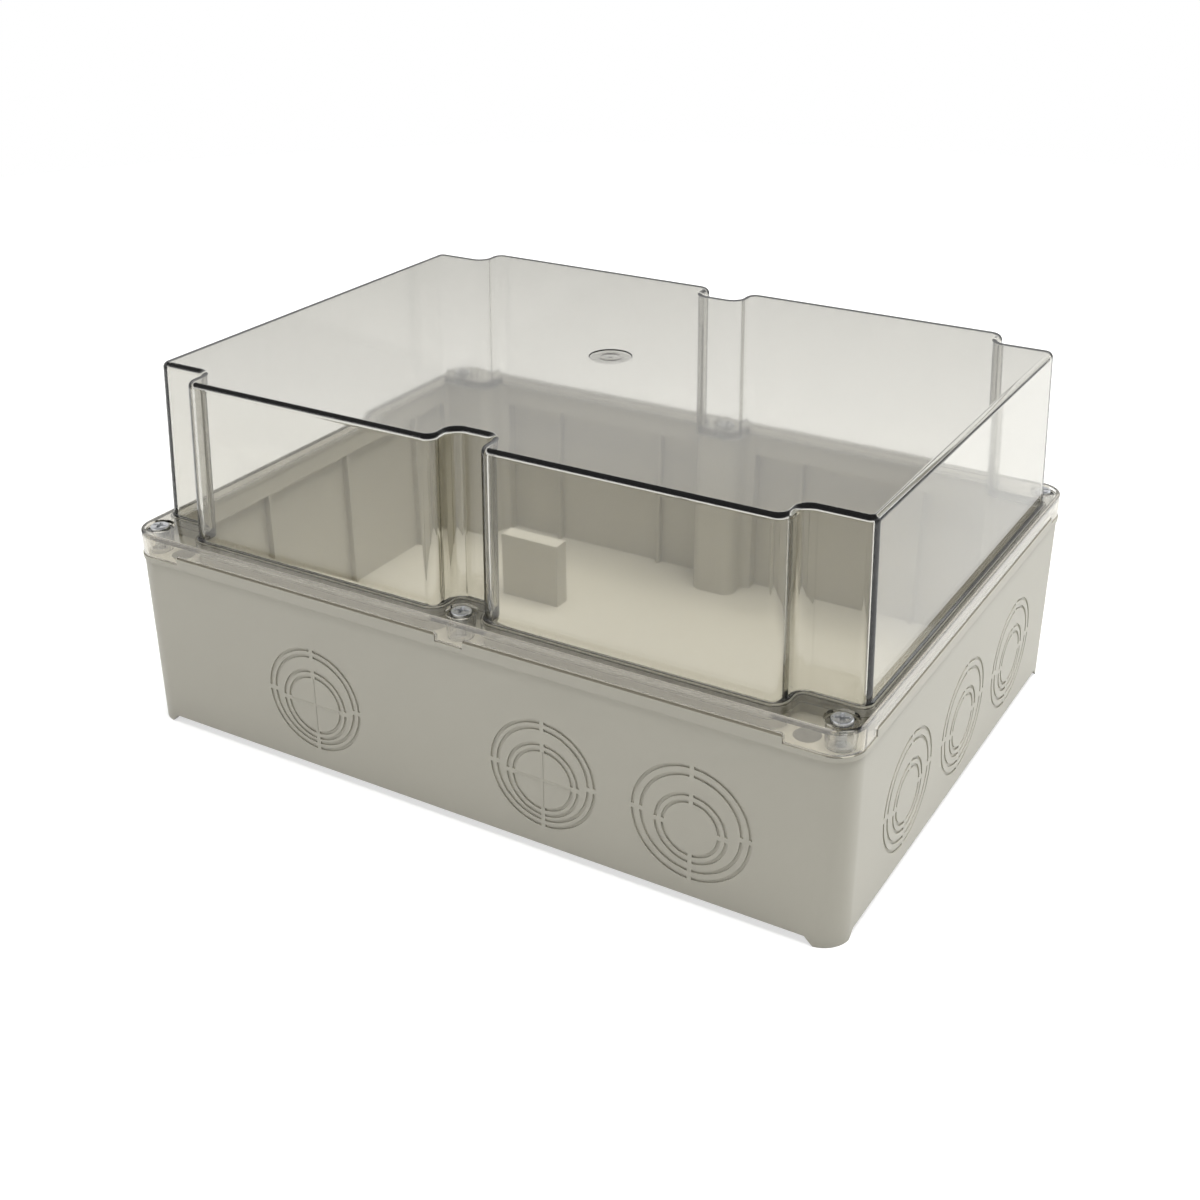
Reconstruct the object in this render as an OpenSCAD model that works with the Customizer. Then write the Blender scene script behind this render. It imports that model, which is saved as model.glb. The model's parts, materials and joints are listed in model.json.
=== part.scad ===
// Plastic junction box: a deep base with knock-outs in its walls and a tall clear lid,
// sealed by a foam gasket and held by six captive screws.
// The seal runs inside the screws: the lid's dome, its gasket and the base's lip all follow
// one outline, a rectangle whose long sides step in round each screw with an ogee.
// Origin at the middle of the footprint, on the surface the feet stand on; +X along the box.

/* [Base] */
// Length of the base over its rim
box_l = 380; // [350:1:420]
// Width of the base over its rim
box_w = 282; // [262:1:320]
// Radius of the base's upright corners
corner_r = 14; // [11:0.5:17]
// Thickness of the outer walls
wall_t = 3; // [2.4:0.1:3.4]
// Thickness of the floor
floor_t = 3.5; // [2.5:0.1:5]
// Height of the four corner feet below the walls
foot_h = 4; // [2:0.5:6]
// Length of a foot along each wall, from the corner
foot_l = 16; // [15:0.5:24]
// Height of the rim above the surface, on the straight runs
rim_z = 96; // [88:0.5:110]
// Height of the proud band below the rim
band_h = 5.5; // [4:0.5:9]
// How far the band stands proud of the wall
band_t = 0.6; // [0.3:0.1:1]

/* [Seal] */
// Drop from the rim to the lands round the screws
land_drop = 3; // [2:0.5:5]
// Thickness of the ledge that carries the lip
ledge_t = 3.5; // [2.5:0.1:5]
// Thickness of the upright lip under the gasket
lip_t = 2; // [1.6:0.1:2.6]
// Height of the lip above the lands
lip_h = 7; // [6:0.5:9]
// Height of the pressed gasket
gasket_h = 2; // [1.5:0.1:3]
// Overhang of the gasket on each side of the lip
gasket_over = 0.7; // [0.3:0.1:1]

/* [Lid] */
// Height of the dome's top above the surface
box_h = 184; // [165:1:210]
// Thickness of the dome's walls and top
dome_t = 3; // [2.4:0.1:3.4]
// Distance from the rim's end face to the foot of the dome
gap_l = 5; // [4.5:0.1:7]
// Distance from the rim's long face to the foot of the dome
gap_w = 8.2; // [7:0.1:10]
// How far the dome's walls lean in towards the top
draft = 3; // [1:0.1:4.5]
// Rounding of the dome's upper edge
edge_r = 2.6; // [1.5:0.1:3.5]
// Flare at the foot of the dome
flare_r = 2.6; // [1:0.1:3]
// Thickness of the flange
flange_t = 3; // [2.4:0.1:4]
// Thickness of the skirt that hangs from the flange
skirt_t = 2.2; // [1.6:0.1:2.6]
// How far the lid stays inside the rim's outline
lid_inset = 0.4; // [0.2:0.1:0.8]
// Shadow gap between skirt and rim
shadow_gap = 1.2; // [0.6:0.1:2]
// Distance from the seal to the rib that guards it
guard_gap = 1; // [0.8:0.1:1.2]
// Thickness of the rib that guards the seal
guard_t = 1; // [0.8:0.1:1.2]
// Diameter of the gate disc in the middle of the dome
gate_d = 21; // [14:1:30]
// Depth of the gate disc
gate_h = 0.5; // [0.3:0.1:1]

/* [Recesses] */
// Depth of the recesses round the screws
recess_d = 16; // [14.5:0.5:19]
// Distance from the box's end face to a corner recess's flank
recess_end = 35; // [31:0.5:40]
// Half width of the middle recess between its flanks
recess_mid = 11; // [9.5:0.5:14]
// Radius of the ogee's outer curve
ogee_out = 7; // [6.5:0.1:8]
// Radius of the ogee's inner curve
ogee_in = 5; // [4:0.1:6]
// Radius of the dome's upright end corners
dome_r = 4.5; // [4:0.1:7]

/* [Screws] */
// Diameter of the tapping screws
screw_d = 4.8; // [4:0.1:5.5]
// Length of a screw under its head
screw_l = 18.2; // [16:0.1:22]
// Length of a screw's point
point_l = 2.5; // [1.5:0.1:4]
// Diameter of a screw's pan head
head_d = 9.4; // [8:0.1:11]
// Height of a screw's head
head_h = 2.9; // [2.2:0.1:3.8]
// Depth of the counterbore that takes the head
seat_h = 1.6; // [0.4:0.1:1.8]
// Distance from the end face to the corner screws
screw_end = 10.5; // [9.8:0.1:14]
// Distance from the long face to the screws
screw_side = 11.2; // [10.2:0.1:13]
// Height of a head's straight side
head_side = 1.6; // [0.8:0.1:2]
// Diameter of the flat on top of a head
crown_d = 6.8; // [5.5:0.1:7.5]
// Length of the driver slots in a head
slot_l = 5.3; // [4:0.1:6]
// Turn of the driver slots when the screws are tight
slot_turn = 20; // [0:1:89]
// Width of the driver slots in a head
slot_w = 1.1; // [0.8:0.1:1.5]
// Depth of the driver slots in a head
slot_h = 1.7; // [1:0.1:2.2]
// Outer diameter of the retaining rings
ring_d = 9.2; // [8.6:0.1:9.8]
// Thickness of the retaining rings
ring_t = 1; // [0.8:0.1:1.6]
// Wall of the lid's screw bosses at their lower end
boss_t = 1.3; // [0.8:0.1:1.6]
// Outer diameter of the base's screw pillars
pillar_d = 10.6; // [9:0.1:12]
// Length of the base's screw pillars below the lands
pillar_l = 18; // [14:0.5:40]

/* [Wall fixing] */
// Diameter of the wall screw holes
fix_d = 6; // [4:0.1:7]
// Diameter of the driver access wells above them
well_d = 11.5; // [9:0.1:12]
// Distance from the end face to the wall screw holes
fix_end = 24.5; // [23:0.1:26]
// Distance from the long face to the wall screw holes
fix_side = 12.2; // [11:0.1:13]
// Thickness of material under the wells
fix_floor = 4; // [3:0.5:8]

/* [Knock-outs] */
// Height of the knock-outs' centres above the surface
ko_z = 41; // [36:0.5:56]
// Drop of the inner pair of rings below the outer pair
ko_drop = 2.7; // [0:0.1:4]
// Width of the knock-out grooves
ko_w = 1.4; // [0.5:0.1:1.8]
// Depth of the knock-out grooves
ko_h = 0.7; // [0.3:0.1:1]
// Width of the four bridges across each ring
ko_bridge = 2.2; // [1:0.1:4]
// Ring diameters of the large knock-outs
ko_large = [57.1, 48.9, 34.9, 28.1]; // [20:0.1:60]
// Ring diameters of the small knock-outs
ko_small = [54.5, 48.1, 37.7, 31.5]; // [20:0.1:60]
// Width of the raised centre cross on the small knock-outs
ko_mark_w = 0.9; // [0.5:0.1:1.5]
// Height of the raised centre cross
ko_mark_h = 0.2; // [0.1:0.05:0.4]
// Spacing of the three large knock-outs on each short wall
ko_pitch = 70.5; // [62:0.5:76]
// Places of the two small knock-outs along each long wall
ko_small_x = [-80.5, 47.2]; // [-100:0.1:100]
// Place of the large knock-out along each long wall
ko_large_x = 120.3; // [110:0.1:124]

/* [Inside] */
// Thickness of the stiffening ribs on the walls
rib_w = 2; // [1.2:0.1:3]
// How far the ribs stand out from the walls
rib_h = 3.5; // [2:0.1:4.5]
// Places of the ribs on the long walls, either side of the middle
rib_x = [45, 114]; // [24:1:140]
// Places of the ribs on the short walls
rib_y = [-46, 20, 84]; // [-90:1:90]
// Width of the moulded floor post
post_w = 37; // [24:1:46]
// Depth of the moulded floor post
post_d = 10; // [6:0.5:16]
// Height of the floor post above the floor
post_h = 38; // [20:1:60]
// Distance of the floor post from the middle, along the box
post_x = 84.5; // [60:0.5:95]
// Distance of the floor post from the middle, across the box
post_y = 59; // [40:0.5:80]

/* [Fits] */
// Clearance between the pads of the lid and the lands
pad_gap = 0.3; // [0.2:0.1:0.6]
// Clearance of the lid's pads in the rim's notches
notch_gap = 0.4; // [0.2:0.1:0.8]
// Radial clearance of a screw in its ring
ring_run = 0.05; // [0.02:0.01:0.1]
// Radial clearance of a ring in its boss
ring_slide = 0.1; // [0.05:0.05:0.3]
// Radial clearance of a screw in its pilot hole
pilot_gap = 0.1; // [0.05:0.05:0.2]
// Radial clearance of a screw in the lid
hole_gap = 0.3; // [0.2:0.1:0.6]
// Radial clearance of a head in its counterbore
head_gap = 2.7; // [0.3:0.1:3.2]

/* [Hidden] */
$fn = 64;
// Facets round a full turn on the drafted walls of the dome
dome_fn = 32;
// Overlap used to run cuts past a face
eps = 1;
// Step between the storeys of the dome's edge, so that no two outlines meet
hair = 0.02;

half_l = box_l/2;
half_w = box_w/2;
floor_z = foot_h + floor_t;
land_z = rim_z - land_drop;
ledge_z = land_z - ledge_t;
lip_z = land_z + lip_h;
under_z = lip_z + gasket_h;
flange_z = under_z + flange_t;
skirt_z = rim_z + shadow_gap;
pad_z = land_z + pad_gap;
seat_z = flange_z - seat_h;

// Foot of the dome: half length, half width, flank of the corner recesses
sl = half_l - gap_l;
sw = half_w - gap_w;
sf = half_l - recess_end;
// Line of the recess bottoms and centre line of the ogee's inner curves
sb = sw - recess_d;
si = sb + ogee_in;
// Share by which the dome's outline shrinks for one millimetre of inset
shrink = 2/(sl + sw);
// Clear distance of the pads from the flanks of the recesses
pad_x = sf + ogee_in;
pad_y = sb - dome_r + ogee_in;
pad_mid = recess_mid - ogee_in + lip_t/2;

// Screw positions: four corners, then the middle of each long side
screw_x = half_l - screw_end;
screw_y = half_w - screw_side;
screws = [[-screw_x, -screw_y], [0, -screw_y], [screw_x, -screw_y],
    [screw_x, screw_y], [0, screw_y], [-screw_x, screw_y]];
fix_x = half_l - fix_end;
fix_y = half_w - fix_side;
ring_z = pad_z;
tip_z = seat_z - screw_l;

module up(z) translate([0, 0, z]) children();
module quarters() for (i = [0, 1], j = [0, 1]) mirror([i, 0, 0]) mirror([0, j, 0]) children();
module at_screws() for (p = screws) translate(p) children();

// Rounded outline of the box, drawn in by i
module plate2d(i) {
    l = box_l - 2*i;
    w = box_w - 2*i;
    r = corner_r - i;
    square([l - 2*r, w], center = true);
    square([l, w - 2*r], center = true);
    for (x = [-1, 1], y = [-1, 1]) translate([x*(l/2 - r), y*(w/2 - r)]) circle(r);
}

// Outline of the dome and its seal, drawn in by e
module seal2d(e) {
    difference() {
        square([2*(sl - e), 2*(sw - e)], center = true);
        for (i = [0, 1], j = [0, 1]) mirror([i, 0]) mirror([0, j]) difference() {
            union() {
                translate([0, -sw - eps]) square([recess_mid + e, sw - si + eps]);
                translate([0, -sw - eps]) square([recess_mid - ogee_in, recess_d + e + eps]);
                translate([recess_mid - ogee_in, -si]) circle(ogee_in + e);
                translate([recess_mid - ogee_in, -sw - eps]) square([ogee_out + ogee_in, ogee_out + eps]);
                translate([sf - ogee_out, -sw - eps]) square([ogee_out + eps, ogee_out + eps]);
                translate([sf - e, -sw - eps]) square([sl - sf + 2*eps, sw - si + eps]);
                translate([sf + ogee_in, -sw - eps]) square([sl - sf, recess_d + e + eps]);
                translate([sf + ogee_in, -si]) circle(ogee_in + e);
                translate([sl - dome_r, -sw]) square([dome_r + eps, recess_d + dome_r]);
            }
            translate([recess_mid + ogee_out, -sw + ogee_out]) circle(ogee_out - e);
            translate([sf - ogee_out, -sw + ogee_out]) circle(ogee_out - e);
            translate([sl - dome_r, -sb + dome_r]) circle(dome_r - e);
            translate([recess_mid + ogee_out, -sw + e]) square([sf - recess_mid - 2*ogee_out, recess_d]);
        }
    }
}

module seal_ring(z, h, e1, e2) up(z) linear_extrude(h) difference() { seal2d(e1); seal2d(e2); }

// Plan of the base's cavity: inside the lip, widened to the walls on the straight runs
module cavity2d() {
    intersection() {
        plate2d(band_t + wall_t);
        union() {
            seal2d(lip_t);
            for (s = [-1, 1]) translate([s*(recess_mid + sf)/2, 0])
                square([sf - recess_mid - 2*ogee_out, box_w], center = true);
            square([box_l, 2*(sb - dome_r)], center = true);
        }
    }
}

// Plan of the places where the rim is notched for the lid's pads, grown by g
module pads2d(g) {
    square([2*(pad_mid + g), box_w + eps], center = true);
    for (i = [0, 1], j = [0, 1]) mirror([i, 0]) mirror([0, j])
        translate([pad_x - g, pad_y - g]) square([recess_end + eps, box_w]);
}

// Hollow columns behind the recesses, open underneath
module pockets() {
    y_in = sb - lip_t + wall_t;
    y_out = half_w - band_t - wall_t;
    difference() {
        up(-eps) linear_extrude(ledge_z + eps) intersection() {
            plate2d(band_t + wall_t);
            union() {
                for (s = [-1, 1]) translate([0, s*(y_in + y_out)/2])
                    square([2*(recess_mid + lip_t - wall_t), y_out - y_in], center = true);
                for (i = [0, 1], j = [0, 1]) mirror([i, 0]) mirror([0, j])
                    translate([sf - lip_t + wall_t, y_in]) square([recess_end, y_out - y_in]);
            }
        }
        up(land_z - pillar_l) at_screws() cylinder(d = pillar_d, h = pillar_l);
        quarters() translate([fix_x, fix_y, foot_h]) cylinder(d = well_d + 2*wall_t, h = land_z);
    }
}

// One ring groove of a knock-out, broken by the four bridges that hold its disc
module ring_groove(d) {
    linear_extrude(ko_h + eps) difference() {
        circle(d = d);
        circle(d = d - 2*ko_w);
        for (t = [0, 90]) rotate(t) square([d + eps, ko_bridge], center = true);
    }
}

// One knock-out, centred on the wall's face: an outer pair of rings, and an inner pair set low
module knock_out(rings)
    for (k = [0:3]) translate([0, k < 2 ? 0 : -ko_drop, -ko_h]) ring_groove(rings[k]);

// Knock-outs on one long wall, as seen on the front
module long_wall_knock_outs() translate([0, band_t - half_w, ko_z]) rotate([90, 0, 0]) {
    for (x = ko_small_x) translate([x, 0]) knock_out(ko_small);
    translate([ko_large_x, 0]) knock_out(ko_large);
}

// Raised crosses that mark the centres of the small knock-outs on one long wall
module centre_marks() translate([0, band_t - half_w, ko_z - ko_drop]) rotate([90, 0, 0])
    for (x = ko_small_x, t = [0, 90]) translate([x, 0]) rotate(t)
        cube([ko_small[3] - 2*ko_w, ko_mark_w, 2*ko_mark_h], center = true);

// Knock-outs on one short wall
module short_wall_knock_outs() translate([half_l - band_t, 0, ko_z]) rotate([90, 0, 90])
    for (k = [-1:1]) translate([k*ko_pitch, 0]) knock_out(ko_large);

module wall_ribs() {
    w_in = half_w - band_t - wall_t;
    l_in = half_l - band_t - wall_t;
    h = ledge_z - floor_z + eps;
    for (i = [0, 1], j = [0, 1], x = rib_x) mirror([i, 0, 0]) mirror([0, j, 0])
        translate([x - rib_w/2, w_in - rib_h, floor_z - eps/2]) cube([rib_w, rib_h + wall_t/2, h]);
    for (i = [0, 1], y = rib_y) mirror([i, 0, 0])
        translate([l_in - rib_h, y - rib_w/2, floor_z - eps/2]) cube([rib_h + wall_t/2, rib_w, h]);
}

// Two bars along Y under the ends of a plate of half length h, sloped on their inner sides
module foot_bars(h) {
    for (s = [0, 1]) mirror([s, 0, 0]) rotate([90, 0, 0]) linear_extrude(2*box_l, center = true)
        polygon([[h - foot_l + foot_h, 0], [h + eps, 0], [h + eps, foot_h + eps],
            [h - foot_l, foot_h + eps], [h - foot_l, foot_h]]);
}

// Four corner feet, where the bars of both directions cross under the walls
module feet() {
    intersection() {
        linear_extrude(foot_h + eps) plate2d(band_t);
        foot_bars(half_l);
        rotate(90) foot_bars(half_w);
    }
}

module base_box() {
    color([0.66, 0.65, 0.61]) difference() {
        union() {
            difference() {
                union() {
                    up(foot_h) linear_extrude(rim_z - band_h - foot_h) plate2d(band_t);
                    up(rim_z - band_h) linear_extrude(band_h) plate2d(0);
                    feet();
                }
                up(floor_z) linear_extrude(ledge_z - floor_z) cavity2d();
                up(land_z) linear_extrude(box_h) plate2d(band_t + wall_t);
                up(ledge_z - eps) linear_extrude(box_h) seal2d(lip_t);
                up(land_z) linear_extrude(box_h) pads2d(notch_gap);
            }
            seal_ring(ledge_z, lip_z - ledge_z, 0, lip_t);
            wall_ribs();
            for (j = [0, 1]) mirror([0, j, 0]) centre_marks();
            translate([-post_x - post_w/2, post_y - post_d/2, floor_z - eps])
                cube([post_w, post_d, post_h + eps]);
        }
        pockets();
        at_screws() up(tip_z - eps) cylinder(r = screw_d/2 + pilot_gap, h = land_z - tip_z + 2*eps);
        quarters() translate([fix_x, fix_y, 0]) {
            up(-eps) cylinder(d = fix_d, h = land_z);
            up(foot_h + fix_floor) cylinder(d = well_d, h = land_z);
        }
        for (j = [0, 1]) mirror([0, j, 0]) long_wall_knock_outs();
        for (i = [0, 1]) mirror([i, 0, 0]) short_wall_knock_outs();
    }
}

// One drafted storey of the dome: the outline drawn in by e, scaled s1 at z1 and s2 at z2
module storey(z1, z2, e, s1, s2) up(z1)
    linear_extrude(height = z2 - z1, scale = s2/s1, slices = 1) scale(s1) seal2d(e, $fn = dome_fn);

module clear_lid() {
    top = 1 - draft*shrink;
    bevel = edge_r*(1 - cos(45));
    color([0.80, 0.81, 0.77, 0.45]) difference() {
        union() {
            up(under_z) linear_extrude(flange_t) plate2d(lid_inset);
            up(skirt_z) linear_extrude(under_z - skirt_z) difference() {
                plate2d(lid_inset);
                plate2d(lid_inset + skirt_t);
            }
            up(pad_z) linear_extrude(under_z - pad_z) intersection() {
                difference() {
                    plate2d(lid_inset);
                    plate2d(lid_inset + skirt_t);
                }
                pads2d(0);
            }
            seal_ring(skirt_z + shadow_gap, under_z - skirt_z - shadow_gap,
                -guard_gap - guard_t, -guard_gap);
            at_screws() up(pad_z) cylinder(d1 = ring_d + 2*ring_slide + 2*boss_t,
                d2 = ring_d + 2*ring_slide + 3*boss_t, h = under_z - pad_z);
            storey(flange_z, flange_z + flare_r, 0, 1 + flare_r*shrink, 1);
            storey(flange_z, box_h - edge_r, 0, 1, top);
            storey(box_h - edge_r, box_h - bevel, 0, top - hair*shrink, top - bevel*shrink);
            storey(box_h - bevel, box_h, 0, top - (bevel + hair)*shrink, top - edge_r*shrink);
        }
        storey(under_z - eps, box_h - dome_t, dome_t, 1, top);
        at_screws() {
            up(pad_z - eps) cylinder(r = ring_d/2 + ring_slide, h = under_z - pad_z + eps);
            up(under_z - eps) cylinder(r = screw_d/2 + hole_gap, h = flange_t + 2*eps);
            up(seat_z) cylinder(r = head_d/2 + head_gap, h = flange_t);
        }
        up(box_h - gate_h) cylinder(d = gate_d, h = gate_h + eps);
    }
}

module lid_gasket() color([0.42, 0.41, 0.37]) seal_ring(lip_z, gasket_h, -gasket_over, lip_t + gasket_over);

// Pan-head tapping screw with a crossed recess, standing in its seat
module lid_screw(k) {
    color([0.78, 0.79, 0.80]) translate(screws[k - 1]) difference() {
        union() {
            up(tip_z) cylinder(d1 = screw_d/3, d2 = screw_d, h = point_l);
            up(tip_z + point_l) cylinder(d = screw_d, h = screw_l - point_l + eps);
            up(seat_z) cylinder(d = head_d, h = head_side);
            up(seat_z + head_side) cylinder(d1 = head_d, d2 = crown_d, h = head_h - head_side);
        }
        for (t = [0, 90]) up(seat_z + head_h - slot_h) rotate(slot_turn + t)
            translate([-slot_l/2, -slot_w/2, 0]) cube([slot_l, slot_w, slot_h + eps]);
    }
}

// Ring that keeps a backed-out screw in the lid
module screw_ring(k) {
    color([0.90, 0.89, 0.85]) translate(screws[k - 1]) up(ring_z) difference() {
        cylinder(d = ring_d, h = ring_t);
        up(-eps) cylinder(r = screw_d/2 + ring_run, h = ring_t + 2*eps);
    }
}

base_box();
clear_lid();
lid_gasket();
lid_screw(1);  // lid_screw_1
lid_screw(2);  // lid_screw_2
lid_screw(3);  // lid_screw_3
lid_screw(4);  // lid_screw_4
lid_screw(5);  // lid_screw_5
lid_screw(6);  // lid_screw_6
screw_ring(1);  // screw_ring_1
screw_ring(2);  // screw_ring_2
screw_ring(3);  // screw_ring_3
screw_ring(4);  // screw_ring_4
screw_ring(5);  // screw_ring_5
screw_ring(6);  // screw_ring_6
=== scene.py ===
"""Looks of the plastic junction box: the clear lid, the six lid screws and the finish of each piece."""
import json

import bmesh
import bpy
import numpy as np
from mathutils import Matrix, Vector
from mathutils.geometry import delaunay_2d_cdt


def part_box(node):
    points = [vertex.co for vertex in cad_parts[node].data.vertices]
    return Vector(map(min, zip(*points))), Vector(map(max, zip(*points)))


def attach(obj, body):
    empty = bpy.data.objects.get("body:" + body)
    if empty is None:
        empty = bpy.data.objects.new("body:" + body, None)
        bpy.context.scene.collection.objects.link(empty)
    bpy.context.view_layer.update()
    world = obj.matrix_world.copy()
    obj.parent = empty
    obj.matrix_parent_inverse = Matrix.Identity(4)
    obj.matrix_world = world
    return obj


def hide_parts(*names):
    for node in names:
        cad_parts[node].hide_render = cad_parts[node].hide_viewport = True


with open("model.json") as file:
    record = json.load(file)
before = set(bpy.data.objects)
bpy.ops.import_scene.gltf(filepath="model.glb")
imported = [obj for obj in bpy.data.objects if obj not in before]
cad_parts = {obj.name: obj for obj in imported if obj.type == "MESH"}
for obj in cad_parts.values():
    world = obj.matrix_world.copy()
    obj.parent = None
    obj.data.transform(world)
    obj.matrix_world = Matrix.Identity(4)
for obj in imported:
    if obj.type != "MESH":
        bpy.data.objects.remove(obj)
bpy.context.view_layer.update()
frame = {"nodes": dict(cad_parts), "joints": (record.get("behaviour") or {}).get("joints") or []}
MM = 0.001


def node_box(node):
    """Lowest and highest corner of a CAD node at rest, in millimetres."""
    return [np.array(corner)/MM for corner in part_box(node)]


# Sizes read from the frame, in millimetres
base_high = node_box("base_box")[1]
lid_low, lid_high = node_box("clear_lid")
gasket_high = node_box("lid_gasket")[1]
screw_low, screw_high = node_box("lid_screw_1")
screw_at = {
    joint["child"]: np.array(joint["pos_m"])/MM
    for joint in frame["joints"] if joint["type"] == "hinge"
}
half_l, half_w = base_high[:2]
lid_l, lid_w = lid_high[:2]
top_z = lid_high[2]
pad_z = lid_low[2]
under_z = gasket_high[2]
seat_z = screw_at["screw_1"][2]

# Outline of the dome and its seal
gasket_over = 0.7
seal_l = gasket_high[0] - gasket_over
seal_w = gasket_high[1] - gasket_over
recess_depth = 16
recess_mid = 11
corner_recess = 35
recess_flank = half_l - corner_recess
ogee_out = 7
ogee_in = 5
dome_corner = 4.5
ogee_out_y = seal_w - ogee_out
ogee_in_y = seal_w - recess_depth + ogee_in
dome_corner_y = seal_w - recess_depth - dome_corner

# Sections of the lid
plate_corner = 13.6
flange_thickness = 3
flange_z = under_z + flange_thickness
skirt_thickness = 2.2
skirt_z = 97.2
flange_round = 1.0
guard_gap = 1.0
guard_thickness = 1.0
guard_z = 98.4
wall_thickness = 3
draft = 3
edge_round = 3.0
inner_round = 0.5
root_flare = 1.5
pad_ramp = 0.8
pad_mid = 7
pad_x = recess_flank + ogee_in
pad_y = dome_corner_y + ogee_in
gate_radius = 10.5
gate_depth = 0.5
# Radius, and share of the gate mark's depth, from its edge to its middle
gate_section = [(gate_radius, 0), (10, 1), (6.2, 1), (5.7, 0.5), (4.9, 0.5), (4.4, 1), (1.2, 1), (0.8, 0.6)]
hair = 0.03

# Screws and the bosses that take them
seat_radius = 7.4
hole_radius = 2.7
boss_bore = 4.7
boss_foot = 6.0
boss_root = 6.65
head_radius = 4.7
head_sink = 0.7
head_height = screw_high[2] - seat_z - head_sink
head_crown = 0.2
head_round = 0.8
head_middle = 0.02
edge_start = 10
slot_turn = 20
slot_length = 6.2
slot_width = 1.5
slot_depth = 1.7
slot_side = 0.25
slot_end = 0.7
thread_crest = 2.4
thread_root = 1.85
thread_pitch = 1.6
thread_flat = 0.35
thread_top = seat_z - 4
thread_runout = 1.5
plain_shank = 0.35
point_length = 2.5
point_share = 0.3
tip_z = screw_low[2]

# Finishes: painted shade for the shadow gap on the base's rim, the lid's gloss, its frosted gate mark, and its
# skirt made milky as painted light for the glow of its clear edge
shade_gap_inset, shade_gap_half_width = 1.4, 1.2
shade_gap_drop, shade_gap_half_height = 2.6, 1.9
lid_gloss, gate_frost, frost_edge = 0.03, 0.2, 1
skirt_depth, skirt_blend, skirt_clear = 1.4, 0.4, 0.75

# Stage: the floor, and how bright the surroundings are for soft light and, by height, in polished faces
floor_radius = 1450
floor_lift = 0.66
soft_light = 0.19
mirror_light = 1.2
mirror_tones = [(0.26, 0.42), (0.36, 1.0), (0.44, 0.95), (0.70, 0.22)]

ARC_STEPS = 14
ROUND_STEPS = 8
BORE_STEPS = 56
HEAD_STEPS = 22
UNDER_STEPS = 5
SHANK_STEPS = 150
SCREW_STEPS = 96


# Outlines
def arc(centre, radius, start, end, steps=ARC_STEPS):
    """Points on a circle round centre, from one bearing to another in degrees."""
    bearing = np.radians(np.linspace(start, end, steps + 1))
    return np.array(centre) + radius*np.column_stack([np.cos(bearing), np.sin(bearing)])


def all_quarters(quarter):
    """A whole loop from one quarter that runs from the Y axis to the X axis, mirrored across both axes."""
    back = quarter[::-1]
    return np.concatenate([back, quarter*(-1, 1), back*(-1, -1), quarter*(1, -1)])


def seal_outline(inset):
    """Outline of the dome, drawn in by inset: straight runs joined by five arcs a quarter.

    Each recess is an ogee: a hollow arc at its bottom, whose radius grows with the inset, turns into a
    round arc at its mouth, whose radius shrinks with it. The last arc is the dome's upright end corner.
    """
    hollow, full = ogee_in + inset, ogee_out - inset
    return all_quarters(np.concatenate([
        arc((recess_mid - ogee_in, ogee_in_y), hollow, -90, 0),
        arc((recess_mid + ogee_out, ogee_out_y), full, 180, 90),
        arc((recess_flank - ogee_out, ogee_out_y), full, 90, 0),
        arc((recess_flank + ogee_in, ogee_in_y), hollow, 180, 270),
        arc((seal_l - dome_corner, dome_corner_y), dome_corner - inset, 90, 0),
    ]))


def plate_outline(inset):
    """Outline of the flange, drawn in by inset: a rounded rectangle, with points at the ends of its pads."""
    length, width, radius = lid_l - inset, lid_w - inset, plate_corner - inset
    long_side = np.array([pad_mid, pad_mid + pad_ramp, pad_x - pad_ramp, pad_x])
    short_side = np.array([pad_y, pad_y - pad_ramp])
    return all_quarters(np.concatenate([
        np.column_stack([long_side, np.full(4, width)]),
        arc((length - radius, width - radius), radius, 90, 0),
        np.column_stack([np.full(2, length), short_side]),
    ]))


def circle(centre, radius):
    """A full circle with its first point not repeated."""
    return arc(centre[:2], radius, 0, 360, BORE_STEPS)[:-1]


def inside(points, loop):
    """Even-odd rule: whether an odd number of the loop's edges cross the ray from each point along +X."""
    start, end = loop, np.roll(loop, -1, axis=0)
    level = points[:, 1, None]
    spans = (start[:, 1] > level) != (end[:, 1] > level)
    rise = np.where(spans, end[:, 1] - start[:, 1], 1)
    crossing = start[:, 0] + (level - start[:, 1])*(end[:, 0] - start[:, 0])/rise
    return ((points[:, 0, None] < crossing) & spans).sum(axis=1) % 2 == 1


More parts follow.
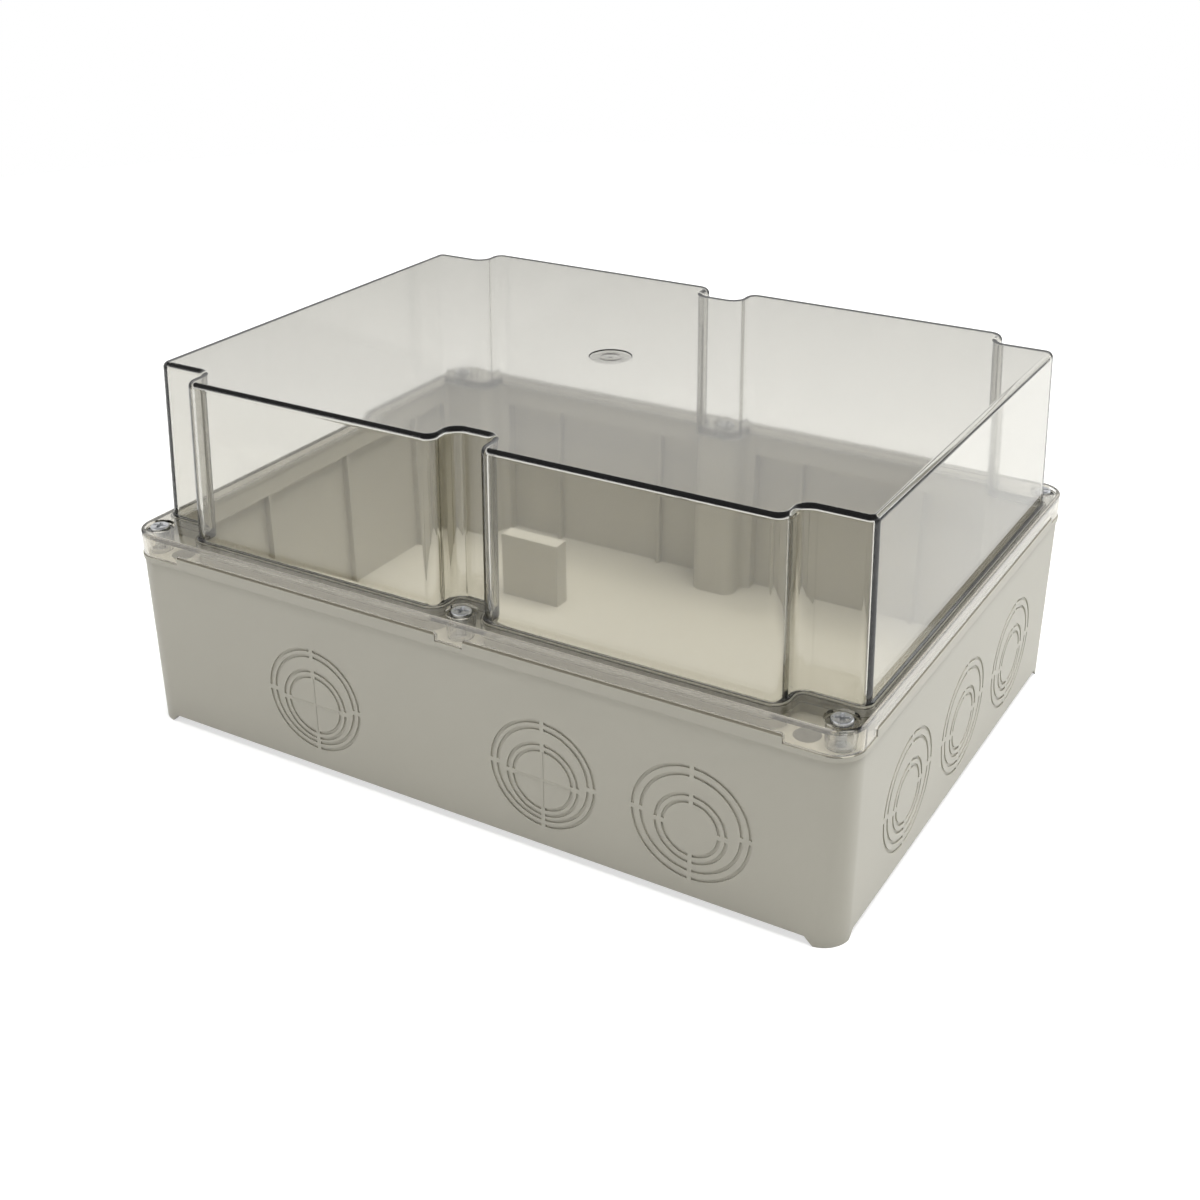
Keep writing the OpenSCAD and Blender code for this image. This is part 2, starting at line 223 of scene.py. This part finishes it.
class Skin:
    """A closed surface of loops of points in millimetres, bands between the loops and flats inside them."""

    def __init__(self):
        self.points = np.empty((0, 3))
        self.faces = []

    def loop(self, outline, height):
        """Adds an outline at a height, or at one height a point, and returns its points' places in the skin."""
        first = len(self.points)
        ring = np.column_stack([outline, np.broadcast_to(height, len(outline))])
        self.points = np.concatenate([self.points, ring])
        return np.arange(first, len(self.points))

    def band(self, *loops):
        """Quads from each loop to the next: points i and i + 1 of one to the same points of the other."""
        for near, far in zip(loops, loops[1:]):
            self.faces.append(np.column_stack([near, np.roll(near, -1), np.roll(far, -1), far]))

    def flat(self, outer, *holes):
        """Triangles between an outer loop and its holes: a constrained Delaunay mesh, less the holes' part."""
        loops = [outer, *holes]
        places = np.concatenate(loops)
        plan = self.points[places, :2]
        numbers = np.split(np.arange(len(places)), np.cumsum([len(loop) for loop in loops])[:-1])
        edges = np.concatenate([np.column_stack([run, np.roll(run, -1)]) for run in numbers])
        triangles = np.array(delaunay_2d_cdt(plan.tolist(), edges.tolist(), [], 0, 1e-7)[2])
        middle = plan[triangles].mean(axis=1)
        keep = inside(middle, plan[numbers[0]])
        for hole in numbers[1:]:
            keep &= ~inside(middle, plan[hole])
        self.faces.append(places[triangles[keep]])

    def piece(self, name, sharp_angle=32):
        """The skin as an object, faces turned outwards, smooth up to the sharp angle."""
        corners = np.concatenate([block.ravel() for block in self.faces])
        sizes = np.concatenate([np.full(len(block), block.shape[1]) for block in self.faces])
        mesh = bpy.data.meshes.new(name)
        mesh.vertices.add(len(self.points))
        mesh.vertices.foreach_set("co", (self.points*MM).ravel())
        mesh.loops.add(len(corners))
        mesh.loops.foreach_set("vertex_index", corners)
        mesh.polygons.add(len(sizes))
        mesh.polygons.foreach_set("loop_start", np.cumsum(sizes) - sizes)
        mesh.update(calc_edges=True)
        shape = bmesh.new()
        shape.from_mesh(mesh)
        bmesh.ops.recalc_face_normals(shape, faces=shape.faces)
        shape.to_mesh(mesh)
        shape.free()
        mesh.polygons.foreach_set("use_smooth", np.ones(len(sizes), dtype=bool))
        mesh.set_sharp_from_angle(angle=np.radians(sharp_angle))
        thing = bpy.data.objects.new(name, mesh)
        bpy.context.scene.collection.objects.link(thing)
        weighted = thing.modifiers.new("even_shading", "WEIGHTED_NORMAL")
        weighted.keep_sharp = True
        return thing


def grid_faces(rows, columns):
    """Quads of a grid whose columns close on themselves, with its points numbered row by row."""
    row, column = np.meshgrid(np.arange(rows - 1), np.arange(columns), indexing="ij")
    beside = (column + 1) % columns
    this_row, next_row = row*columns, (row + 1)*columns
    quads = [this_row + column, this_row + beside, next_row + beside, next_row + column]
    return np.stack(quads, axis=-1).reshape(-1, 4)


def smooth_step(share):
    """Runs from 0 to 1 as share does, level at both ends: three times its square less twice its cube."""
    share = np.clip(share, 0, 1)
    return share*share*(3 - 2*share)


# Clear lid
def dome_scale(height, foot, head):
    """Share by which the drafted dome has shrunk at a height: one at its foot, less the draft at its head."""
    lean = 2*draft/(seal_l + seal_w)
    return 1 - lean*np.clip((height - foot)/(head - foot), 0, 1)


def dome_outer(skin):
    """Loops of the dome's outside from the flange up: a hollow flare, the drafted wall, a round edge."""
    turn = np.radians(np.linspace(0, 90, ROUND_STEPS + 1))
    wall_top = top_z - edge_round
    insets = np.concatenate([-root_flare*(1 - np.sin(turn)), edge_round*(1 - np.cos(turn))])
    heights = np.concatenate([flange_z + root_flare*(1 - np.cos(turn)), wall_top + edge_round*np.sin(turn)])
    scales = dome_scale(heights, flange_z, wall_top)
    return [skin.loop(seal_outline(i)*s, z) for i, z, s in zip(insets, heights, scales)]


def dome_inner(skin):
    """Loops of the dome's inside from below: the drafted wall, then a small hollow at the ceiling."""
    turn = np.radians(np.linspace(0, 90, ROUND_STEPS + 1))
    ceiling = top_z - wall_thickness
    insets = np.concatenate([[wall_thickness], wall_thickness + inner_round*(1 - np.cos(turn))])
    heights = np.concatenate([[under_z + hair], ceiling - inner_round*(1 - np.sin(turn))])
    scales = dome_scale(heights, under_z, ceiling)
    return [skin.loop(seal_outline(i)*s, z) for i, z, s in zip(insets, heights, scales)]


def skirt_foot(outline):
    """Height of the skirt's lower edge: it steps down with a short ramp to the pads round the screws."""
    x, y = np.abs(outline).T
    middle = smooth_step((pad_mid + pad_ramp - x)/pad_ramp)*(y > pad_y)
    along, across = smooth_step((x - pad_x)/pad_ramp + 1), smooth_step((y - pad_y)/pad_ramp + 1)
    corner = np.minimum(along, across)
    return skirt_z - (skirt_z - pad_z)*np.maximum(middle, corner)


def flange_edge(skin):
    """Loops of the skirt and the flange's edge: down the inside, across the foot, up the outside, round."""
    turn = np.radians(np.linspace(0, 90, ROUND_STEPS + 1))
    inner, outer = plate_outline(skirt_thickness), plate_outline(0)
    loops = [
        skin.loop(inner, under_z + hair), skin.loop(inner, skirt_foot(inner)),
        skin.loop(outer, skirt_foot(outer)),
    ]
    rounding = zip(flange_round*(1 - np.cos(turn)), flange_z - flange_round*(1 - np.sin(turn)))
    return loops + [skin.loop(plate_outline(inset), height) for inset, height in rounding]


def screw_well(skin, centre):
    """Loops down through one screw's well: seat, hole, then the bore and the tapered outside of its boss."""
    seat = seat_z - hair
    under = under_z + hair
    section = [
        (seat_radius, flange_z), (seat_radius, seat), (hole_radius, seat), (hole_radius, under),
        (boss_bore, under), (boss_bore, pad_z), (boss_foot, pad_z), (boss_root, under),
    ]
    return [skin.loop(circle(centre, radius), height) for radius, height in section]


def gate_mark(skin):
    """Loops of the gate mark in the middle of the dome: a shallow dish with a low ring and a centre nub."""
    return [skin.loop(circle((0, 0), radius), top_z - share*gate_depth) for radius, share in gate_section]


def clear_lid():
    """The lid's whole skin: dome inside and out, flange, skirt, the seal's guard rib and six wells."""
    skin = Skin()
    outside, within, edge = dome_outer(skin), dome_inner(skin), flange_edge(skin)
    wells = [screw_well(skin, centre) for centre in screw_at.values()]
    gate = gate_mark(skin)
    under, guard_out = under_z + hair, guard_gap + guard_thickness
    guard_section = [(guard_gap, under), (guard_gap, guard_z), (guard_out, guard_z), (guard_out, under)]
    guard = [skin.loop(seal_outline(-reach), height) for reach, height in guard_section]
    skin.band(*outside)
    skin.flat(outside[-1], gate[0])
    skin.band(*gate)
    skin.flat(gate[-1])
    skin.band(*within)
    skin.flat(within[-1])
    skin.band(within[0], *guard)
    skin.flat(edge[0], guard[-1], *[well[-1] for well in wells])
    skin.band(*edge)
    skin.flat(edge[-1], outside[0], *[well[0] for well in wells])
    for well in wells:
        skin.band(*well)
    return skin.piece("clear_lid_skin")


# Lid screws
def head_section():
    """Radius and height of a pan head from its middle to its underside.

    The top falls with the square of the radius; a round edge, a straight side and the flat underside follow.
    """
    dome = np.linspace(head_middle, head_radius - head_round, HEAD_STEPS)
    crown = seat_z + head_height - head_crown*(dome/head_radius)**2
    turn = np.radians(np.linspace(edge_start, 90, ROUND_STEPS))
    edge_r = head_radius - head_round + head_round*np.sin(turn)
    edge_z = crown[-1] - head_round*(1 - np.cos(turn))
    under = np.linspace(head_radius, thread_crest, UNDER_STEPS + 1)[1:]
    radius = np.concatenate([dome, edge_r, [head_radius], under])
    height = np.concatenate([crown, edge_z, [seat_z], np.full(UNDER_STEPS, seat_z)])
    return radius, height


def shank_section():
    """Heights down the shank to its tip, and the share of full size there: one, then less over the point."""
    height = np.linspace(seat_z, tip_z, SHANK_STEPS)[1:]
    share = np.clip((height - tip_z)/point_length, 0, 1)
    return height, point_share + (1 - point_share)*share


def lid_screw(name, centre):
    """A pan-head tapping screw as one polar grid.

    Head: the crossed recess lowers each point by the slot's depth where its smaller offset from the cross is
    within half the slot's width and its larger one within half the length. Shank: the radius runs between
    root and crest with the distance from the helix, height over pitch less bearing over a full turn.
    """
    bearing = np.linspace(0, 2*np.pi, SCREW_STEPS, endpoint=False)
    radius, height = head_section()
    low, share = shank_section()
    r, t = np.meshgrid(radius, bearing, indexing="ij")
    z = np.broadcast_to(height[:, None], r.shape).copy()
    across = np.abs(r*np.cos(t - np.radians(slot_turn)))
    along = np.abs(r*np.sin(t - np.radians(slot_turn)))
    narrow, wide = np.minimum(across, along), np.maximum(across, along)
    sides = smooth_step((slot_width/2 - narrow)/slot_side + 0.5)
    ends = smooth_step((slot_length/2 - wide)/slot_end + 0.4)
    top_side = (np.arange(len(radius)) < HEAD_STEPS)[:, None]
    z -= slot_depth*sides*ends*top_side
    low_z, low_t = np.meshgrid(low, bearing, indexing="ij")
    phase = np.mod(low_z/thread_pitch - low_t/(2*np.pi), 1)
    flank = np.clip((1 + thread_flat)*np.abs(2*phase - 1) - thread_flat, 0, 1)
    fade = smooth_step((thread_top - low_z)/thread_runout)
    rise = flank*fade + plain_shank*(1 - fade)
    low_r = share[:, None]*(thread_root + (thread_crest - thread_root)*rise)
    skin = Skin()
    polar = [(r, t, z), (low_r, low_t, low_z)]
    skin.points = np.concatenate([
        np.stack([centre[0] + a*np.cos(b), centre[1] + a*np.sin(b), c], axis=-1).reshape(-1, 3)
        for a, b, c in polar
    ])
    rows = len(radius) + len(low)
    ring = np.arange(SCREW_STEPS)
    skin.faces += [grid_faces(rows, SCREW_STEPS), ring[None], (ring + (rows - 1)*SCREW_STEPS)[None]]
    return skin.piece(name, sharp_angle=50)


# Materials
def fill(socket, feed):
    """Links a node's socket to another socket, or sets it to a number or colour."""
    if isinstance(feed, bpy.types.NodeSocket):
        socket.id_data.links.new(feed, socket)
    else:
        socket.default_value = feed


def node_maker(tree):
    """A function that adds nodes to an emptied tree."""
    tree.nodes.clear()

    def add(kind, settings=None, feeds=(), **inputs):
        """Adds a node: settings are its properties, feeds its sockets in order, inputs its sockets by name."""
        node = tree.nodes.new("ShaderNode" + kind)
        for key, value in (settings or {}).items():
            setattr(node, key, value)
        for socket, feed in zip(node.inputs, feeds):
            fill(socket, feed)
        for key, feed in inputs.items():
            fill(node.inputs[key.replace("_", " ")], feed)
        return node

    return add


def new_material(name):
    """An empty node material, and a function that adds nodes to it."""
    material = bpy.data.materials.new(name)
    material.use_nodes = True
    return material, node_maker(material.node_tree)


def worked(add, operation, *feeds):
    """The result of a sum on numbers or sockets."""
    return add("Math", {"operation": operation}, feeds).outputs[0]


def band_of(add, value, low, high):
    """Maps a 0 to 1 texture value onto a narrow band of numbers."""
    return add("MapRange", Value=value, To_Min=low, To_Max=high).outputs["Result"]


def two_tones(add, value, first, second):
    """Mixes two colours, of which the first may be a socket, by a value."""
    mix = add("Mix", {"data_type": "RGBA"})
    # The node's colour sockets come after those for numbers and vectors
    share, start, end, result = mix.inputs[0], mix.inputs[6], mix.inputs[7], mix.outputs[2]
    fill(share, value)
    fill(start, first if isinstance(first, bpy.types.NodeSocket) else (*first, 1))
    fill(end, (*second, 1))
    return result


def overhang(add, place, half_length, half_width):
    """How far a point lies outside a rectangle round the middle, in metres: the larger of two overhangs."""
    size = add("VectorMath", {"operation": "ABSOLUTE"}, [place]).outputs["Vector"]
    inner = (half_length*MM, half_width*MM, 0)
    over = add("VectorMath", {"operation": "SUBTRACT"}, [size, inner]).outputs["Vector"]
    parts = add("SeparateXYZ", Vector=over).outputs
    return worked(add, "MAXIMUM", parts["X"], parts["Y"])


def moulded_plastic():
    """Light grey moulded plastic: broad soft tone, fine spark-eroded grain, edges rounded in the shading.

    The narrow rim under the lid's skirt is darker with painted shade for the shadow gap there: the shade lies
    where both the distance in from the rim's edge and the height are near enough to the gap's middle.
    """
    material, add = new_material("moulded_grey_plastic")
    place = add("TexCoord").outputs["Object"]
    broad = add("TexNoise", Vector=place, Scale=16, Detail=3, Roughness=0.5).outputs["Fac"]
    grain = add("TexNoise", Vector=place, Scale=1900, Detail=2, Roughness=0.6).outputs["Fac"]
    rounded = add("Bevel", {"samples": 4}, Radius=0.45*MM).outputs["Normal"]
    bump = add("Bump", Strength=0.12, Distance=0.06*MM, Height=grain, Normal=rounded).outputs["Normal"]
    height = add("SeparateXYZ", Vector=place).outputs["Z"]
    outside = overhang(add, place, half_l, half_w)
    # Painted shade: a dark band on the rim under the lid's skirt, where the shadow gap falls
    shade_across_rim = worked(add, "COMPARE", outside, -shade_gap_inset*MM, shade_gap_half_width*MM)
    shade_below_skirt = worked(add, "COMPARE", height, (skirt_z - shade_gap_drop)*MM, shade_gap_half_height*MM)
    tone = two_tones(add, broad, (0.530, 0.508, 0.432), (0.560, 0.537, 0.460))
    shader = add(
        "BsdfPrincipled",
        Base_Color=two_tones(add, worked(add, "MULTIPLY", shade_across_rim, shade_below_skirt), tone, (0.22, 0.205, 0.17)),
        Roughness=band_of(add, grain, 0.36, 0.48), Normal=bump, IOR=1.5)
    add("OutputMaterial", Surface=shader.outputs["BSDF"])
    return material


def clear_plastic():
    """Clear, slightly smoked plastic: it absorbs along the light's path and lets lamp light straight through.

    The gate mark in the middle of the top is frosted; the skirt round the edge is faintly milky, a painted
    light for the glow of its clear edge.
    """
    material, add = new_material("clear_smoked_plastic")
    place = add("TexCoord").outputs["Object"]
    flow = add("TexNoise", Vector=place, Scale=9, Detail=2).outputs["Fac"]
    ripple = add("Bump", Strength=0.04, Distance=0.2*MM, Height=flow).outputs["Normal"]
    level = add("VectorMath", {"operation": "MULTIPLY"}, [place, (1, 1, 0)]).outputs["Vector"]
    from_middle = add("VectorMath", {"operation": "LENGTH"}, [level]).outputs["Value"]
    frost = add(
        "MapRange", Value=from_middle, From_Min=(gate_radius - frost_edge)*MM, From_Max=gate_radius*MM,
        To_Min=gate_frost, To_Max=lid_gloss).outputs["Result"]
    skirt = add(
        "MapRange", Value=overhang(add, place, lid_l - skirt_depth, lid_w - skirt_depth),
        From_Min=0, From_Max=skirt_blend*MM).outputs["Result"]
    # Painted light: in the skirt a pale, warm diffuse share takes part of the transmission, standing in for the
    # glow of light gathered in the clear edge
    glass = add(
        "BsdfPrincipled", Base_Color=two_tones(add, skirt, (1, 1, 1), (0.95, 0.90, 0.80)), Roughness=frost,
        IOR=1.57, Normal=ripple, Transmission_Weight=band_of(add, skirt, 1, skirt_clear))
    through = add("BsdfTransparent", Color=(0.95, 0.95, 0.95, 1))
    path = add("LightPath").outputs
    soft = worked(add, "MAXIMUM", path["Is Shadow Ray"], path["Is Diffuse Ray"])
    mix = add("MixShader", None, [soft, glass.outputs["BSDF"], through.outputs["BSDF"]])
    absorb = add("VolumeAbsorption", Color=(0.36, 0.34, 0.26, 1), Density=142)
    add("OutputMaterial", Surface=mix.outputs["Shader"], Volume=absorb.outputs["Volume"])
    return material


def seal_foam():
    """Closed-cell foam: small cells in colour and bump."""
    material, add = new_material("seal_foam")
    place = add("TexCoord").outputs["Object"]
    cells = add("TexVoronoi", Vector=place, Scale=900).outputs["Distance"]
    bump = add("Bump", Strength=0.5, Distance=0.2*MM, Height=cells).outputs["Normal"]
    shader = add(
        "BsdfPrincipled", Base_Color=two_tones(add, cells, (0.46, 0.445, 0.39), (0.56, 0.54, 0.48)),
        Roughness=0.9, Normal=bump)
    add("OutputMaterial", Surface=shader.outputs["BSDF"])
    return material


def zinc_plate():
    """Bright zinc plating: a clouded grey metal with small changes of roughness."""
    material, add = new_material("bright_zinc")
    place = add("TexCoord").outputs["Object"]
    cloud = add("TexNoise", Vector=place, Scale=420, Detail=3).outputs["Fac"]
    bump = add("Bump", Strength=0.1, Distance=0.03*MM, Height=cloud).outputs["Normal"]
    shader = add(
        "BsdfPrincipled", Base_Color=two_tones(add, cloud, (0.56, 0.57, 0.58), (0.70, 0.71, 0.73)),
        Metallic=1, Roughness=band_of(add, cloud, 0.22, 0.36), Normal=bump)
    add("OutputMaterial", Surface=shader.outputs["BSDF"])
    return material


def natural_nylon():
    """Natural nylon: off-white and faintly clouded."""
    material, add = new_material("natural_nylon")
    place = add("TexCoord").outputs["Object"]
    cloud = add("TexNoise", Vector=place, Scale=250, Detail=2).outputs["Fac"]
    shader = add(
        "BsdfPrincipled", Base_Color=two_tones(add, cloud, (0.76, 0.75, 0.69), (0.82, 0.81, 0.76)),
        Roughness=band_of(add, cloud, 0.4, 0.5))
    add("OutputMaterial", Surface=shader.outputs["BSDF"])
    return material


def pale_floor():
    """White floor: it takes the object's shadow, and seen directly or in glass it is lifted to white."""
    material, add = new_material("pale_floor")
    path = add("LightPath").outputs
    straight = worked(add, "MAXIMUM", path["Is Camera Ray"], path["Is Glossy Ray"])
    seen = worked(add, "MAXIMUM", straight, path["Is Transmission Ray"])
    glow = add("Emission", Color=(1, 1, 1, 1), Strength=worked(add, "MULTIPLY", seen, floor_lift))
    matt = add("BsdfDiffuse", Color=(0.42, 0.42, 0.41, 1))
    both = add("AddShader", None, [glow.outputs[0], matt.outputs[0]])
    add("OutputMaterial", Surface=both.outputs[0])
    return material


def set_material(thing, material):
    """Gives every slot of an object one material."""
    thing.data.materials.clear()
    thing.data.materials.append(material)


def smooth_node(node, sharp_angle=30, join_reach=0.001*MM):
    """Shades a CAD node smooth across its small facets: joined points, edges past the sharp angle sharp."""
    group = bpy.data.node_groups.new("smooth_facets_" + node.name, "GeometryNodeTree")
    group.interface.new_socket("Geometry", in_out="INPUT", socket_type="NodeSocketGeometry")
    group.interface.new_socket("Geometry", in_out="OUTPUT", socket_type="NodeSocketGeometry")
    add, link = group.nodes.new, group.links.new
    start, end = add("NodeGroupInput"), add("NodeGroupOutput")
    join = add("GeometryNodeMergeByDistance")
    join.inputs["Distance"].default_value = join_reach
    faces = add("GeometryNodeSetShadeSmooth")
    edges = add("GeometryNodeSetShadeSmooth")
    edges.domain = "EDGE"
    edges.inputs["Shade Smooth"].default_value = False
    angle = add("GeometryNodeInputMeshEdgeAngle")
    sharp = add("FunctionNodeCompare")
    sharp.operation = "GREATER_THAN"
    sharp.inputs["B"].default_value = np.radians(sharp_angle)
    link(angle.outputs["Unsigned Angle"], sharp.inputs["A"])
    link(sharp.outputs["Result"], edges.inputs["Selection"])
    link(start.outputs[0], join.inputs["Geometry"])
    link(join.outputs[0], faces.inputs["Geometry"])
    link(faces.outputs[0], edges.inputs["Geometry"])
    link(edges.outputs[0], end.inputs[0])
    node.modifiers.new("smooth_facets", "NODES").node_group = group
    weighted = node.modifiers.new("even_shading", "WEIGHTED_NORMAL")
    weighted.keep_sharp = True


# Stage
def studio():
    """White round floor, white surroundings with a darker ceiling, a broad lamp overhead and two soft ones."""
    skin = Skin()
    skin.faces.append(skin.loop(circle((0, 0), floor_radius), -hair)[None])
    floor = skin.piece("studio_floor")
    set_material(floor, pale_floor())
    soft_lamp("overhead_lamp", (0.25, 0.1, 2.2), (0, 0, 0.1), size=1.6, power=100, mirrored=False)
    soft_lamp("right_lamp", (1.5, 1.4, 0.8), (0.19, 0, 0.05), size=1.2, power=5, colour=(0.93, 0.98, 1.0))
    soft_lamp("front_lamp", (-1.3, -1.9, 0.9), (0, -0.14, 0.05), size=1.4, power=5.5)
    surroundings()


def surroundings():
    """White all round where the camera looks, also through glass; dim for soft light.

    What polished faces mirror is a light band above the horizon and a darker ceiling: the tone follows the
    height of the mirrored direction.
    """
    world = bpy.data.worlds.new("white_surroundings")
    bpy.context.scene.world = world
    world.use_nodes = True
    add = node_maker(world.node_tree)
    white = (1, 1, 1, 1)
    height = add("SeparateXYZ", Vector=add("TexCoord").outputs["Generated"]).outputs["Z"]
    tone = add("ValToRGB", Fac=height)
    stops = tone.color_ramp.elements
    while len(stops) < len(mirror_tones):
        stops.new(0.5)
    for stop, (place, level) in zip(stops, mirror_tones):
        stop.position = place
        stop.color = (level, level, level, 1)
    soft = add("Background", Color=white, Strength=soft_light).outputs[0]
    mirrored = add("Background", Color=tone.outputs["Color"], Strength=mirror_light).outputs[0]
    seen = add("Background", Color=white, Strength=1).outputs[0]
    path = add("LightPath").outputs
    straight = worked(add, "MAXIMUM", path["Is Camera Ray"], path["Is Transmission Ray"])
    shiny = add("MixShader", None, [path["Is Glossy Ray"], soft, mirrored]).outputs[0]
    add("OutputWorld", Surface=add("MixShader", None, [straight, shiny, seen]).outputs[0])


def soft_lamp(name, place, target, size, power, colour=(1, 1, 1), mirrored=True):
    """A square soft lamp at a place, turned towards a target, in metres and watts.

    A lamp that isn't mirrored leaves the flat top of the lid clear when seen from above.
    """
    light = bpy.data.lights.new(name, "AREA")
    light.size = size
    light.energy = power
    light.color = colour
    lamp = bpy.data.objects.new(name, light)
    lamp.visible_glossy = mirrored
    lamp.visible_transmission = mirrored
    bpy.context.scene.collection.objects.link(lamp)
    away = np.array(place) - np.array(target)
    away = away/np.linalg.norm(away)
    side = np.cross((0, 1, 0), away)
    side = side/np.linalg.norm(side)
    lamp.matrix_world = look(side, np.cross(away, side), away, place)


def look(right, up, back, place):
    """The matrix of a camera or lamp from its three axes and its place."""
    turned = np.eye(4)
    turned[:3] = np.column_stack([right, up, back, place])
    return Matrix(turned.tolist())


def photo_camera():
    """The camera that took the picture: a bearing, height and roll round a target, and a distance from it."""
    azimuth, elevation, roll = np.radians([30.670, 27.057, -0.228])
    target = np.array([22.237, -48.213, 80])*MM
    distance = 764.31*MM
    flat = np.cos(elevation)
    back = np.array([np.sin(azimuth)*flat, -np.cos(azimuth)*flat, np.sin(elevation)])
    level = np.array([np.cos(azimuth), np.sin(azimuth), 0])
    above = np.cross(back, level)
    right = level*np.cos(roll) + above*np.sin(roll)
    up = above*np.cos(roll) - level*np.sin(roll)
    lens = bpy.data.cameras.new("photo_camera")
    lens.lens = 47.951
    lens.sensor_width = 36
    lens.clip_end = 30
    camera = bpy.data.objects.new("photo_camera", lens)
    bpy.context.scene.collection.objects.link(camera)
    camera.matrix_world = look(right, up, back, target + back*distance)
    bpy.context.scene.camera = camera


def render_settings():
    """Plain colours, enough bounces for light to cross four sheets of clear plastic, and a clean picture."""
    scene = bpy.context.scene
    scene.view_settings.view_transform = "Standard"
    scene.cycles.max_bounces = 24
    scene.cycles.transmission_bounces = 20
    scene.cycles.transparent_max_bounces = 24
    scene.cycles.caustics_reflective = False
    scene.cycles.caustics_refractive = False
    scene.cycles.use_denoising = True


photo_camera()
render_settings()
studio()

zinc = zinc_plate()
nylon = natural_nylon()
lid = clear_lid()
set_material(lid, clear_plastic())
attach(lid, "lid")
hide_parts("clear_lid")

for body, centre in screw_at.items():
    screw = lid_screw(body + "_turned", centre)
    set_material(screw, zinc)
    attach(screw, body)
    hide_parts("lid_" + body)
    ring = frame["nodes"][body.replace("screw", "screw_ring")]
    set_material(ring, nylon)
    smooth_node(ring)

base = frame["nodes"]["base_box"]
set_material(base, moulded_plastic())
smooth_node(base)
gasket = frame["nodes"]["lid_gasket"]
set_material(gasket, seal_foam())
smooth_node(gasket)
